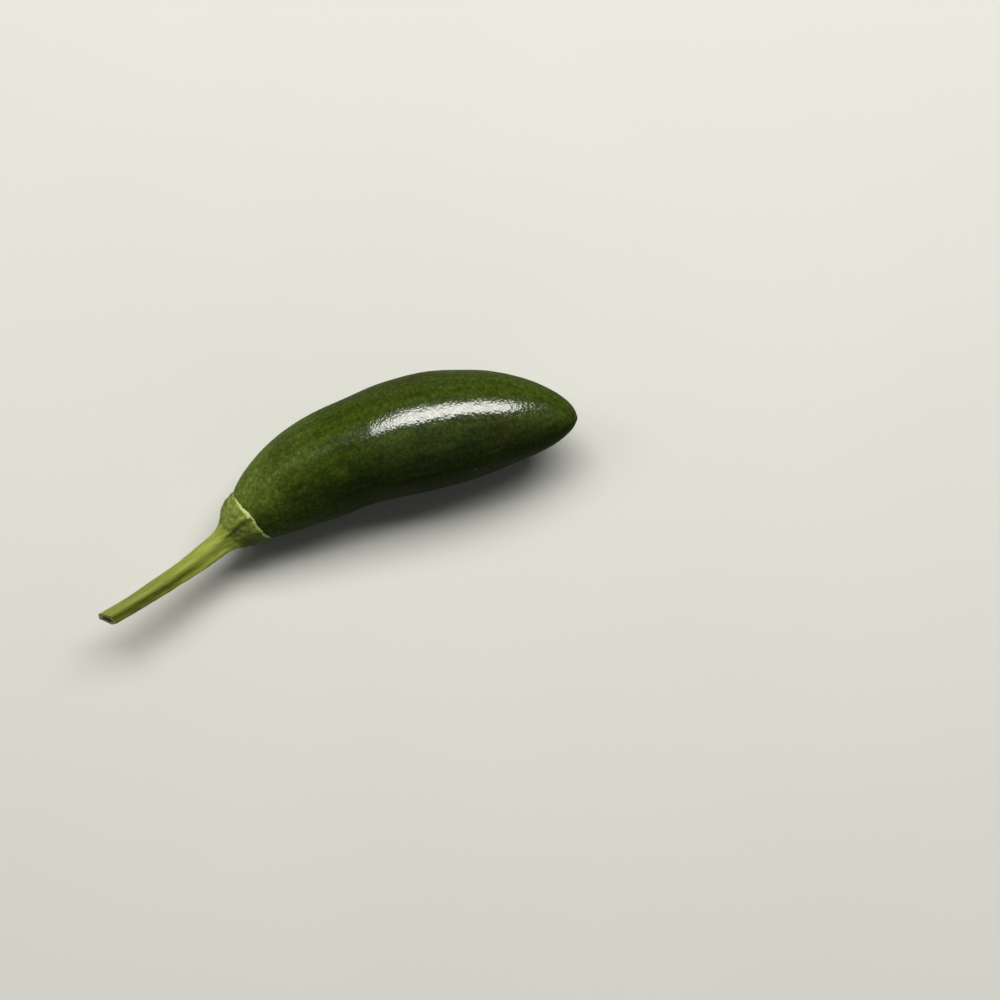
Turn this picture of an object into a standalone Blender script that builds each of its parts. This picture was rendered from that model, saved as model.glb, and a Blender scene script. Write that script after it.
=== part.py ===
"""A green chilli pepper, picked with its stalk and lying on its side.

The pod is one solid and the stalk with its calyx is another, because the calyx pulls off the pod
in one piece with the stalk. Both are lofted round one bent centreline, whose distance s runs from
the cut end of the stalk, through 0 at the calyx rim, to the tip of the pod. Sizes are in metres.
The surface that the chilli lies on is z = 0, and the lowest part of the pod is a small flat spot.
"""

import math

import bmesh
import bpy
import numpy as np

MM = 0.001

# Pod. Shares are of its length, and depths of its radius, where they have no unit
POD_LENGTH = 62.0 * MM
POD_RADIUS = 10.45 * MM
POD_WIDEST = 0.54 * POD_LENGTH
POD_HIDDEN = 3.3 * MM
SHOULDER_POWER = 2.2
SHOULDER_SHARPNESS = 0.46
TIP_POWER = 1.8
TIP_SHARPNESS = 0.57
WAIST_DEPTH = 0.045
WAIST_PLACE = 0.37 * POD_LENGTH
WAIST_WIDTH = 0.09 * POD_LENGTH
WAIST_BELOW = 0.2
LOBES = 3
LOBE_DEPTH = 0.022
LOBES_GROWN = 0.3
LOBES_FADE = 0.75
LOBE_TURN = math.radians(15)
LOBE_TWIST = math.radians(14)

# The pod rests on a flat facet with three corners round the chilli's weight, whose sides slope gently up
REST_DEPTH = 0.4 * MM
REST_CORNERS = (
    # distance along, and across to the side
    (0.31 * POD_LENGTH, -2.1 * MM),
    (0.575 * POD_LENGTH, -2.0 * MM),
    (0.45 * POD_LENGTH, 2.3 * MM),
)
REST_SLOPE = math.radians(4)

# The shoulder is set in where the calyx sits on it
SEAT_DEPTH = 0.7 * MM
SEAT_END = 1.25 * MM
SEAT_RAMP = 1.2 * MM
SEAT_GROWN = 3.0 * MM
FIT_GAP = 0.3 * MM

# Calyx
CALYX_LENGTH = 8.0 * MM
CALYX_LIP = 0.5 * MM
CALYX_RIM_RADIUS = 5.65 * MM
CALYX_OFFSET = 0.25 * MM
CALYX_OFFSET_SIDE = math.radians(15)
CALYX_FLARE = 1.4
CALYX_BULGE = 0.2 * MM
CALYX_BULGE_SIDE = math.radians(190)
CALYX_RIB_HEIGHT = 0.3 * MM
CALYX_TOOTH = 0.45 * MM
RIM_TILT = 0.22 * MM
RIM_TILT_SIDE = math.radians(20)
RIBS = 5
RIB_TURN = math.radians(20)
RIB_SHARPNESS = 1.5
RIB_MEAN = 0.4

# Stalk
STALK_LENGTH = 22.7 * MM
STALK_RADIUS = 1.8 * MM
STALK_END_RADIUS = 1.45 * MM
NECK_RADIUS = 2.0 * MM
NECK_POWER = 6
STALK_RIB = 0.11
CUT_SIDE_SLANT = math.radians(34)
CUT_TOP_SLANT = math.radians(12)
PITH_RADIUS = 0.62
PITH_DEPTH = 0.35 * MM

# Bend of the centreline: distance s, heading in plan and rise, each read smoothly between stations
STALK_START = -(CALYX_LENGTH + STALK_LENGTH)
BEND = (
    # s, heading, rise, with angles in degrees
    (STALK_START, 8.0, -15.0),
    (-CALYX_LENGTH, 14.5, -3.0),
    (0.0, 19.0, 5.0),
    (0.36 * POD_LENGTH, -4.5, 3.6),
    (POD_LENGTH, -27.0, 1.0),
)
BEND_EASE = 9.0 * MM
CENTRELINE_STEP = 0.1 * MM

# Mesh
POD_SIDES = 48
POD_RINGS = 44
STALK_SIDES = 40
STALK_RINGS = 15
CALYX_RINGS = 11
LIP_RINGS = 3
SEAT_RINGS = 6
PITH_RINGS = 2


def ease(value):
    """0 below 0, 1 above 1, and a smooth S between."""
    x = np.clip(value, 0.0, 1.0)
    return x * x * (3 - 2 * x)


class Centreline:
    """The bent line that both solids are lofted round, with a side and an up direction at each distance."""

    def __init__(self):
        first = STALK_START - BEND_EASE
        last = POD_LENGTH + BEND_EASE
        self.s = np.arange(first, last, CENTRELINE_STEP)
        stations, headings, rises = (np.array(column) for column in zip(*BEND))
        heading = self._eased(stations, np.radians(headings))
        rise = self._eased(stations, np.radians(rises))
        self.tangent = np.column_stack(
            (np.cos(heading) * np.cos(rise), np.sin(heading) * np.cos(rise), np.sin(rise))
        )
        walked = np.cumsum(self.tangent, axis=0) * CENTRELINE_STEP
        at_rim = np.array([np.interp(0.0, self.s, axis) for axis in walked.T])
        self.point = walked - at_rim
        self.side = np.column_stack((-np.sin(heading), np.cos(heading), np.zeros_like(heading)))
        self.up = np.cross(self.tangent, self.side)

    def _eased(self, stations, angles):
        """The angles at every step, read between stations and then averaged over BEND_EASE."""
        offsets = np.linspace(-BEND_EASE / 2, BEND_EASE / 2, 25)
        return np.mean([np.interp(self.s + d, stations, angles) for d in offsets], axis=0)

    def at(self, distance, radius, angle):
        """The points at these distances along, these radii out and these angles round from the side."""
        distance, radius, angle = np.broadcast_arrays(distance, radius, angle)
        centre, side, up = (
            np.column_stack([np.interp(distance, self.s, axis) for axis in table.T])
            for table in (self.point, self.side, self.up)
        )
        across = radius * np.cos(angle)
        above = radius * np.sin(angle)
        return centre + across[:, None] * side + above[:, None] * up


def pod_radius(s):
    """The pod's mean radius: an egg made of a blunt shoulder half and a longer, sharper tip half."""
    shoulder = np.clip((POD_WIDEST - s) / (POD_WIDEST + POD_HIDDEN), 0.0, 1.0)
    tip = np.clip((s - POD_WIDEST) / (POD_LENGTH - POD_WIDEST), 0.0, 1.0)
    blunt = (1 - shoulder**SHOULDER_POWER) ** SHOULDER_SHARPNESS
    sharp = (1 - tip**TIP_POWER) ** TIP_SHARPNESS
    full = POD_RADIUS * blunt * sharp
    seat = SEAT_DEPTH * (1 - ease((s - SEAT_END) / SEAT_RAMP)) * ease(full / SEAT_GROWN)
    return np.maximum(full - seat, 0.0)


def pod_relief(s, angle):
    """Share of its radius that the pod's shallow lobes and slight waist add or take away."""
    along = s / POD_LENGTH
    strength = ease(along / LOBES_GROWN) * (1 - ease((along - LOBES_FADE) / (1 - LOBES_FADE)))
    turned = angle + math.pi / 2 - LOBE_TURN - LOBE_TWIST * (along - 0.5)
    lobes = -LOBE_DEPTH * strength * np.cos(LOBES * turned)
    waist = -WAIST_DEPTH * np.exp(-(((s - WAIST_PLACE) / WAIST_WIDTH) ** 2))
    sides = WAIST_BELOW + (1 - WAIST_BELOW) * np.cos(angle) ** 2
    return lobes + waist * sides


def rib(angle):
    """1 on each rib of the stalk and calyx, falling to 0 in the broad hollows between."""
    return ((1 + np.cos(RIBS * (angle - RIB_TURN))) / 2) ** RIB_SHARPNESS


def pod_stations(count):
    """Distances along the pod, closer together at its two round ends."""
    swept = np.linspace(0, math.pi, count + 2)
    return -POD_HIDDEN + (POD_LENGTH + POD_HIDDEN) * (1 - np.cos(swept)) / 2


def seat_profile(count, gap):
    """Distances and radii of a line that stands off the pod's shoulder by the gap, as far as the calyx lip."""
    swept = np.linspace(0.02, math.pi / 2, 60)
    s = -POD_HIDDEN + (CALYX_LIP + CALYX_TOOTH + RIM_TILT + POD_HIDDEN) * (1 - np.cos(swept))
    r = pod_radius(s)
    slope = np.column_stack((np.gradient(s), np.gradient(r)))
    slope /= np.linalg.norm(slope, axis=1)[:, None]
    s_off = s - gap * slope[:, 1]
    r_off = r + gap * slope[:, 0]
    walked = np.concatenate(([0], np.cumsum(np.hypot(np.diff(s_off), np.diff(r_off)))))
    even = np.linspace(0, walked[-1], count)
    return np.interp(even, walked, s_off), np.interp(even, walked, r_off)


def ring_angles(sides):
    """Angles of the points of one ring, counted from its side direction."""
    return np.linspace(0, 2 * math.pi, sides, endpoint=False)


def pod_rings(line):
    """The pod's rings of points from its shoulder to its tip, with the two poles as single points."""
    angle = ring_angles(POD_SIDES)
    stations = pod_stations(POD_RINGS)
    rings = [line.at(stations[:1], 0.0, 0.0)]
    for s in stations[1:-1]:
        radius = pod_radius(s) * (1 + pod_relief(s, angle))
        rings.append(line.at(s, radius, angle))
    rings.append(line.at(stations[-1:], 0.0, 0.0))
    return rings


def stalk_radius(s, angle):
    """Outer radius of the stalk, which is five-sided, and of the bell of the calyx that it opens into."""
    along = ease((s - STALK_START) / STALK_LENGTH)
    shaft = STALK_END_RADIUS + (STALK_RADIUS - STALK_END_RADIUS) * along
    shaft = shaft + (NECK_RADIUS - STALK_RADIUS) * along**NECK_POWER
    opened = ease((s + CALYX_LENGTH) / (CALYX_LENGTH + CALYX_LIP)) ** CALYX_FLARE
    facing = np.maximum(0, np.cos(angle - CALYX_BULGE_SIDE)) ** 2
    halfway = 4 * opened * (1 - opened)
    bulge = CALYX_BULGE * halfway * facing
    wider = CALYX_RIM_RADIUS - NECK_RADIUS + CALYX_OFFSET * np.cos(angle - CALYX_OFFSET_SIDE)
    bell = wider * opened
    ribs = STALK_RIB * shaft * (1 - opened) + CALYX_RIB_HEIGHT * halfway
    return shaft + bell + bulge + ribs * (rib(angle) - RIB_MEAN)


def lip_distance(angle):
    """Where the calyx ends: it has a small tooth at the foot of each rib, and one side is longer."""
    tooth = CALYX_TOOTH * (rib(angle) ** 2 - 0.5)
    return CALYX_LIP + tooth + RIM_TILT * np.cos(angle - RIM_TILT_SIDE)


def cut_distance(radius, angle):
    """Where the slanting cut ends the stalk: it is set back towards the pod at the top and on one side."""
    side = -np.cos(angle) * math.tan(CUT_SIDE_SLANT)
    top = np.sin(angle) * math.tan(CUT_TOP_SLANT)
    return STALK_START + radius * (side + top)


def cut_rings(line, angle):
    """The cut end of the stalk, from the middle of its sunken pith to the edge."""
    edge = stalk_radius(STALK_START, angle)
    rings = [line.at(np.array([STALK_START + PITH_DEPTH]), 0.0, 0.0)]
    for share in np.linspace(0, PITH_RADIUS, PITH_RINGS + 1)[1:]:
        radius = edge * share
        sunk = PITH_DEPTH * (1 - (share / PITH_RADIUS) ** 2)
        rings.append(line.at(cut_distance(radius, angle) + sunk, radius, angle))
    return rings


def stalk_rings(line):
    """Rings of the stalk and calyx: cut end, shaft, bell, lip and the hollow that holds the pod."""
    angle = ring_angles(STALK_SIDES)
    rings = cut_rings(line, angle)
    start = cut_distance(stalk_radius(STALK_START, angle), angle)
    for share in np.linspace(0, 1, STALK_RINGS):
        s = start + (-CALYX_LENGTH - start) * share
        rings.append(line.at(s, stalk_radius(s, angle), angle))
    lip = lip_distance(angle)
    for share in np.linspace(0, 1, CALYX_RINGS + 1)[1:]:
        s = -CALYX_LENGTH + (lip + CALYX_LENGTH) * share
        rings.append(line.at(s, stalk_radius(s, angle), angle))
    inner_s, inner_r = seat_profile(80, FIT_GAP)
    outer = stalk_radius(lip, angle)
    inner = np.interp(lip, inner_s, inner_r)
    for turn in np.linspace(0, math.pi, LIP_RINGS + 2)[1:-1]:
        radius = (outer + inner) / 2 + (outer - inner) / 2 * math.cos(turn)
        rings.append(line.at(lip + (outer - inner) / 2 * math.sin(turn), radius, angle))
    for share in np.linspace(1, 0, SEAT_RINGS + 1)[:-1]:
        s = inner_s[0] + (lip - inner_s[0]) * (1 - math.cos(share * math.pi / 2))
        rings.append(line.at(s, np.interp(s, inner_s, inner_r), angle))
    rings.append(line.at(np.array([inner_s[0]]), 0.0, 0.0))
    return rings


def loft(name, rings, material):
    """A closed object whose skin runs through the rings, with a fan at each end onto a single point."""
    shell = bmesh.new()
    rows = [[shell.verts.new(point) for point in ring] for ring in rings]
    for lower, upper in zip(rows, rows[1:]):
        count = max(len(lower), len(upper))
        for i in range(count):
            j = (i + 1) % count
            if len(lower) == 1:
                corners = (lower[0], upper[j], upper[i])
            elif len(upper) == 1:
                corners = (lower[i], lower[j], upper[0])
            else:
                corners = (lower[i], lower[j], upper[j], upper[i])
            shell.faces.new(corners)
    bmesh.ops.recalc_face_normals(shell, faces=shell.faces)
    mesh = bpy.data.meshes.new(name)
    shell.to_mesh(mesh)
    shell.free()
    mesh.materials.append(material)
    made = bpy.data.objects.new(name, mesh)
    bpy.context.scene.collection.objects.link(made)
    return made


def slice_off(made, point, normal):
    """Cuts away what lies behind the plane through the point, and closes the cut with one flat face."""
    shell = bmesh.new()
    shell.from_mesh(made.data)
    everything = shell.verts[:] + shell.edges[:] + shell.faces[:]
    cut = bmesh.ops.bisect_plane(
        shell, geom=everything, plane_co=point, plane_no=normal, clear_inner=True, dist=1e-6
    )
    rim = [piece for piece in cut["geom_cut"] if isinstance(piece, bmesh.types.BMEdge)]
    bmesh.ops.contextual_create(shell, geom=rim)
    bmesh.ops.recalc_face_normals(shell, faces=shell.faces)
    shell.to_mesh(made.data)
    shell.free()


def cut_rest(pod, line):
    """Cuts the facet that the pod rests on, and the three gentle slopes that lead up from its sides."""
    lowest, _ = bounds([pod])
    up = np.array([0.0, 0.0, 1.0])
    corners = [line.at(np.array([s]), across, 0.0)[0] for s, across in REST_CORNERS]
    for corner in corners:
        corner[2] = lowest[2] + REST_DEPTH
    slice_off(pod, corners[0], up)
    for corner, following in zip(corners, corners[1:] + corners[:1]):
        inward = np.cross(up, following - corner)
        inward /= np.linalg.norm(inward)
        slice_off(pod, corner, up * math.cos(REST_SLOPE) + inward * math.sin(REST_SLOPE))


def shade_round(made):
    """Smooth shading, with the edges of the cut end and the calyx rim kept crisp."""
    made.data.shade_smooth()
    made.data.set_sharp_from_angle(angle=math.radians(35))


def skin(name, colour, roughness):
    """A plain Principled material for a waxy plant skin."""
    material = bpy.data.materials.new(name)
    material.use_nodes = True
    shader = material.node_tree.nodes["Principled BSDF"]
    shader.inputs["Base Color"].default_value = (*colour, 1.0)
    shader.inputs["Roughness"].default_value = roughness
    shader.inputs["Metallic"].default_value = 0.0
    return material


def bounds(objects):
    """Lowest and highest corners of the meshes of these objects, in their parent's frame."""
    corners = np.array([vertex.co for made in objects for vertex in made.data.vertices])
    return corners.min(axis=0), corners.max(axis=0)


def main():
    """Builds both solids and sets the chilli down with its middle over the origin."""
    for old in list(bpy.data.objects):
        bpy.data.objects.remove(old)
    line = Centreline()
    pod = loft("pod", pod_rings(line), skin("pod_skin", (0.030, 0.052, 0.007), 0.22))
    stalk = loft("stalk_and_calyx", stalk_rings(line), skin("stalk_green", (0.24, 0.30, 0.06), 0.55))
    cut_rest(pod, line)
    whole = bpy.data.objects.new("chilli", None)
    bpy.context.scene.collection.objects.link(whole)
    low, high = bounds([pod, stalk])
    whole.location = (-(low[0] + high[0]) / 2, -(low[1] + high[1]) / 2, -low[2])
    for made in (pod, stalk):
        made.parent = whole
        shade_round(made)


main()
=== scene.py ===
"""A green chilli pepper on a plain pale floor: the fine skin of its pod, and its stalk with the calyx.

Both skins grow round one bent centreline. A point of a skin is a distance along it, a radius and an
angle round it, which is 0 at the outside of the bend and a quarter turn at the top. Distances are 0
just inside the calyx rim. Sizes are in metres, and the chilli lies on z = 0.
"""

from __future__ import annotations

import logging
import math
from dataclasses import dataclass, field
from enum import Enum

import bpy
import numpy as np
from mathutils import Matrix, Vector

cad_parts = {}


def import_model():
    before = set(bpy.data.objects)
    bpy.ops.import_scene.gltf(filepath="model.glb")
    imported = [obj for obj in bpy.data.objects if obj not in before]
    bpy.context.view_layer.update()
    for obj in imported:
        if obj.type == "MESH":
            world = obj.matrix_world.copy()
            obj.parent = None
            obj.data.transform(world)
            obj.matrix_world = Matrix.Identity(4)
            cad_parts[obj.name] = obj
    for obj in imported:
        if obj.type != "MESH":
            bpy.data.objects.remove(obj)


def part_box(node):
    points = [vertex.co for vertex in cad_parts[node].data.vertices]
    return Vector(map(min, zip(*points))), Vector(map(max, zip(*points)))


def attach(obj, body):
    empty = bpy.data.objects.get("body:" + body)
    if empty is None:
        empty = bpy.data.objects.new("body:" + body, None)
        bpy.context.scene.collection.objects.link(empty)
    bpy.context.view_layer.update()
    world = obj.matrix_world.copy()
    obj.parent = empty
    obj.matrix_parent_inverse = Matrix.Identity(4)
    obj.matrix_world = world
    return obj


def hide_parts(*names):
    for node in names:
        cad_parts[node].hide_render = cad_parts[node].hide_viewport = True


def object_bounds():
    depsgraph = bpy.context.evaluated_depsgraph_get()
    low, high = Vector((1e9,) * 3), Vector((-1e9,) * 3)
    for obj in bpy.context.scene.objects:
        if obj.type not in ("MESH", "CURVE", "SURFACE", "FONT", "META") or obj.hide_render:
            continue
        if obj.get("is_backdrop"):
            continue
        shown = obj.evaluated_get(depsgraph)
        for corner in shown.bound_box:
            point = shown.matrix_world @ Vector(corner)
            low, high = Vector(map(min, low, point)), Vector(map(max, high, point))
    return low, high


LOG = logging.getLogger("chilli")
BODY = "root"
MM = 0.001
TURN = 2 * math.pi

Colour = tuple[float, float, float]
Range = tuple[float, float]
Box = tuple[Vector, Vector]
Node = bpy.types.Node
Socket = bpy.types.NodeSocket
Sockets = dict[str, Socket]
Input = "float | Colour | Socket"


class Value(Enum):
    """What each point of a skin tells its material."""

    STRAIGHT = "straight"
    ALONG = "along"
    # How much a point faces the light. The pod and the calyx are painted darker where it is low, which is
    # painted shade.
    FACING_LIGHT = "sunny"
    SCAR = "scar"
    # Paler ribs and darker hollows of the stalk: partly its own colour, partly painted light where light
    # falls and painted shade in the hollows and on its lower side.
    RIB_LIGHT_AND_SHADE = "rib"
    FOLD = "fold"
    RIM = "rim"
    DRY = "dry"
    BELL = "bell"
    CORE = "core"


class Slot(Enum):
    """The record's material slots."""

    POD = "pod_skin"
    STALK = "stalk_green"


def ease(value: np.ndarray | float) -> np.ndarray:
    """0 below 0, 1 above 1, and a smooth S between."""
    x = np.clip(value, 0.0, 1.0)
    return x * x * (3 - 2 * x)


def bump(value: np.ndarray | float, middle: float, width: float) -> np.ndarray:
    """A smooth hump, 1 at the middle and 0.37 at one width from it."""
    return np.exp(-(((value - middle) / width) ** 2))


def turned(angle: np.ndarray, middle: float) -> np.ndarray:
    """How far each angle is from the middle one, the short way round."""
    return (angle - middle + math.pi) % TURN - math.pi


def on_side(angle: np.ndarray, side: float) -> np.ndarray:
    """1 on one side, falling smoothly to 0 a quarter turn from it."""
    return np.maximum(0, np.cos(angle - side)) ** 2


def link(name: str, data: bpy.types.ID) -> bpy.types.Object:
    """Adds an object to the scene.

    Args:
        name: its name.
        data: its mesh, light or camera.

    Returns:
        The object.
    """
    made = bpy.data.objects.new(name, data)
    bpy.context.scene.collection.objects.link(made)
    return made


@dataclass(frozen=True)
class Ripples:
    """A seeded sum of smooth waves through space, for the unevenness of a grown surface.

    The waves are from shortest to longest across the chilli, and stretch times as long along it.
    """

    seed: int
    shortest: float
    longest: float
    stretch: float = 1.0
    count: int = 28

    def at(self, straight: np.ndarray) -> np.ndarray:
        """Reads the sum at unbent points.

        Args:
            straight: points, with their distance along the chilli last.

        Returns:
            Heights with a mean of 0 and a typical size of 1, in the points' own layout.
        """
        draw = np.random.default_rng(self.seed)
        heading = draw.normal(size=(self.count, 3))
        heading /= np.linalg.norm(heading, axis=1)[:, None]
        length = self.shortest * (self.longest / self.shortest) ** draw.random(self.count)
        phase = draw.uniform(0, TURN, self.count)
        heading[:, 2] /= self.stretch
        waves = np.sin(straight @ (heading / length[:, None] * TURN).T + phase)
        return waves.sum(axis=-1) * math.sqrt(2 / self.count)


@dataclass(frozen=True)
class Station:
    """One place on the centreline, and which way the chilli heads there, in degrees."""

    distance: float
    heading: float
    rise: float


class Centreline:
    """The bent line that both skins grow round, with a side and an up direction at each distance."""

    EASING = 9.0 * MM
    EASING_SAMPLES = 25
    STEP = 0.1 * MM

    def __init__(self, stations: tuple[Station, ...]) -> None:
        """Walks the line through its stations, with distance 0 at the origin.

        Args:
            stations: the places where the heading is known, in order.
        """
        first = stations[0].distance - self.EASING
        last = stations[-1].distance + self.EASING
        self.s = np.arange(first, last, self.STEP)
        heading = self._eased(stations, [math.radians(place.heading) for place in stations])
        rise = self._eased(stations, [math.radians(place.rise) for place in stations])
        self.tangent = np.column_stack(
            (np.cos(heading) * np.cos(rise), np.sin(heading) * np.cos(rise), np.sin(rise))
        )
        walked = np.cumsum(self.tangent, axis=0) * self.STEP
        self.point = walked - np.array([np.interp(0.0, self.s, axis) for axis in walked.T])
        self.side = np.column_stack((-np.sin(heading), np.cos(heading), np.zeros_like(heading)))
        self.up = np.cross(self.tangent, self.side)

    def _eased(self, stations: tuple[Station, ...], angles: list[float]) -> np.ndarray:
        """Reads angles between stations and averages them over the easing.

        Args:
            stations: where the angles are known.
            angles: the angle at each station.

        Returns:
            The angle at every step.
        """
        places = [place.distance for place in stations]
        offsets = np.linspace(-self.EASING / 2, self.EASING / 2, self.EASING_SAMPLES)
        return np.mean([np.interp(self.s + offset, places, angles) for offset in offsets], axis=0)

    def at(self, distance: np.ndarray, radius: np.ndarray, angle: np.ndarray) -> np.ndarray:
        """Points of a skin.

        Args:
            distance: distances along the line.
            radius: distances out from it.
            angle: angles round it.

        Returns:
            The points, in the arguments' own layout with x, y and z last.
        """
        distance, radius, angle = np.broadcast_arrays(distance, radius, angle)
        centre, side, up = (
            np.stack([np.interp(distance, self.s, axis) for axis in table.T], axis=-1)
            for table in (self.point, self.side, self.up)
        )
        across = (radius * np.cos(angle))[..., None]
        above = (radius * np.sin(angle))[..., None]
        return centre + across * side + above * up


def straightened(distance: np.ndarray, radius: np.ndarray, angle: np.ndarray) -> np.ndarray:
    """The same points on an unbent chilli, which its textures follow."""
    distance, radius, angle = np.broadcast_arrays(distance, radius, angle)
    return np.stack((radius * np.cos(angle), radius * np.sin(angle), distance), axis=-1)


@dataclass
class Skin:
    """Rows of points that close into one skin, from a point at one end to a point at the other.

    Attributes:
        rows: points by row and by side.
        ends: the two end points.
        values: what the points of the rows tell the material.
    """

    rows: np.ndarray
    ends: tuple[np.ndarray, np.ndarray]
    values: dict[Value, np.ndarray] = field(default_factory=dict)

    def faces(self) -> list[tuple[int, ...]]:
        """Joins the points into a fan, bands of four-sided faces, and a fan.

        Returns:
            The points of each face, all pointing outwards.
        """
        count, sides = self.rows.shape[:2]
        last = 1 + count * sides
        near = np.arange(sides)
        far = (near + 1) % sides
        end = last - sides
        fan = [(0, 1 + j, 1 + i) for i, j in zip(near, far)]
        for row in range(count - 1):
            here = 1 + row * sides
            there = here + sides
            fan.extend((here + i, here + j, there + j, there + i) for i, j in zip(near, far))
        fan.extend((end + i, end + j, last) for i, j in zip(near, far))
        return fan

    def make(self, name: str) -> bpy.types.Object:
        """Makes the object.

        Args:
            name: the piece's name.

        Returns:
            A smooth mesh object whose points carry the values.
        """
        first, last = (end.reshape(1, 3) for end in self.ends)
        points = np.concatenate((first, self.rows.reshape(-1, 3), last))
        mesh = bpy.data.meshes.new(name)
        mesh.from_pydata(points.tolist(), [], self.faces())
        for kind, value in self.values.items():
            self._write(mesh, kind, value)
        mesh.shade_smooth()
        mesh.validate()
        return link(name, mesh)

    def _write(self, mesh: bpy.types.Mesh, kind: Value, value: np.ndarray) -> None:
        """Writes one value to every point, with the mean of the nearest row at each end.

        Args:
            mesh: the mesh to write to.
            kind: which value.
            value: the value at each point of the rows.
        """
        vector = value.ndim == 3
        first, last = (row.mean(axis=1).reshape(1, -1) for row in (value[:1], value[-1:]))
        whole = np.concatenate((first, value.reshape(-1, 3 if vector else 1), last))
        held = mesh.attributes.new(kind.value, "FLOAT_VECTOR" if vector else "FLOAT", "POINT")
        held.data.foreach_set("vector" if vector else "value", whole.astype(np.float32).ravel())


class Wiring:
    """Adds nodes to one shader tree and joins their sockets."""

    MIX_FACTOR, MIX_FIRST, MIX_SECOND, MIX_COLOUR = 0, 6, 7, 2

    def __init__(self, tree: bpy.types.NodeTree) -> None:
        """Takes the tree that the nodes go into."""
        self.tree = tree

    def add(self, kind: str, inputs: dict, **settings) -> Node:
        """Adds one node.

        Args:
            kind: the node's type name.
            inputs: what its inputs hold or are joined to, by name or number.
            settings: its other properties.

        Returns:
            The node.
        """
        node = self.tree.nodes.new(kind)
        for name, setting in settings.items():
            setattr(node, name, setting)
        for name, given in inputs.items():
            self.feed(node.inputs[name], given)
        return node

    def feed(self, socket: Socket, given: Input) -> None:
        """Joins a socket to another one, or sets what it holds.

        Args:
            socket: the input to feed.
            given: another socket, a number or a colour.
        """
        if isinstance(given, Socket):
            self.tree.links.new(given, socket)
        elif socket.type == "RGBA":
            socket.default_value = (*given, 1.0)
        else:
            socket.default_value = given

    def value(self, kind: Value) -> Socket:
        """Reads what the skin's points say."""
        node = self.add("ShaderNodeAttribute", {}, attribute_name=kind.value)
        return node.outputs["Vector" if kind is Value.STRAIGHT else "Fac"]

    def sum(self, operation: str, *numbers: Input) -> Socket:
        """One arithmetic operation on numbers or sockets."""
        node = self.add("ShaderNodeMath", dict(enumerate(numbers)), operation=operation)
        return node.outputs[0]

    def times(self, first: Input, second: Input) -> Socket:
        """Multiplies two numbers."""
        return self.sum("MULTIPLY", first, second)

    def part(self, first: Input, share: Input, second: Input) -> Socket:
        """Adds a share of the first number to the second."""
        return self.sum("MULTIPLY_ADD", first, share, second)

    def fade(self, given: Input, low: Input, high: Input, start: Input = 0.0, end: Input = 1.0) -> Socket:
        """Eases from one number to another.

        Args:
            given: the number that is followed.
            low: where the change starts.
            high: where it is complete.
            start: the result up to low.
            end: the result from high on.

        Returns:
            The eased number.
        """
        inputs = {"Value": given, "From Min": low, "From Max": high, "To Min": start, "To Max": end}
        node = self.add("ShaderNodeMapRange", inputs, interpolation_type="SMOOTHSTEP")
        return node.outputs["Result"]

    def mix(self, share: Input, first: Input, second: Input) -> Socket:
        """Mixes two colours.

        Args:
            share: how much of the second colour there is.
            first: the colour underneath.
            second: the colour laid over it.

        Returns:
            The mixed colour.
        """
        inputs = {self.MIX_FACTOR: share, self.MIX_FIRST: first, self.MIX_SECOND: second}
        return self.add("ShaderNodeMix", inputs, data_type="RGBA").outputs[self.MIX_COLOUR]

    def shade(self, colour: Input, mask: Input, tones: Range, span: Range = (0.0, 1.0)) -> Socket:
        """Scales a colour, from the first tone to the second while the mask crosses its span."""
        amount = self.fade(mask, *span, *tones)
        return self.add("ShaderNodeVectorMath", {0: colour, "Scale": amount}, operation="SCALE").outputs[0]

    def noise(self, place: Input, size: float, detail: float = 2.0) -> Socket:
        """Soft noise from 0 to 1, with blobs of about the given size."""
        inputs = {"Vector": place, "Scale": 1 / size, "Detail": detail}
        return self.add("ShaderNodeTexNoise", inputs).outputs["Fac"]

    def use(self, effect: Effect, **inputs: Input) -> Sockets:
        """Places an effect.

        Args:
            effect: which effect.
            inputs: what its inputs hold or are joined to, by name.

        Returns:
            Its outputs by name.
        """
        node = self.add("ShaderNodeGroup", {}, node_tree=effect.tree())
        for name, given in inputs.items():
            self.feed(node.inputs[name], given)
        return {socket.name: socket for socket in node.outputs}


class Effect:
    """A shader node group that more than one material uses, built when it is first asked for."""

    title = ""
    takes: dict[str, str] = {}
    gives: dict[str, str] = {}

    def tree(self) -> bpy.types.NodeTree:
        """Finds or builds the node group.

        Returns:
            The group, with named inputs and outputs.
        """
        found = bpy.data.node_groups.get(self.title)
        if found:
            return found
        made = bpy.data.node_groups.new(self.title, "ShaderNodeTree")
        for name, kind in self.takes.items():
            made.interface.new_socket(name, in_out="INPUT", socket_type=kind)
        for name, kind in self.gives.items():
            made.interface.new_socket(name, in_out="OUTPUT", socket_type=kind)
        wiring = Wiring(made)
        start = wiring.add("NodeGroupInput", {})
        outputs = self.draw(wiring, {socket.name: socket for socket in start.outputs if socket.name})
        wiring.add("NodeGroupOutput", outputs)
        return made

    def draw(self, wiring: Wiring, given: Sockets) -> Sockets:
        """Wires the effect.

        Args:
            wiring: the group's wiring.
            given: the group's inputs by name.

        Returns:
            What each output is joined to, by name.
        """
        raise NotImplementedError


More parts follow.
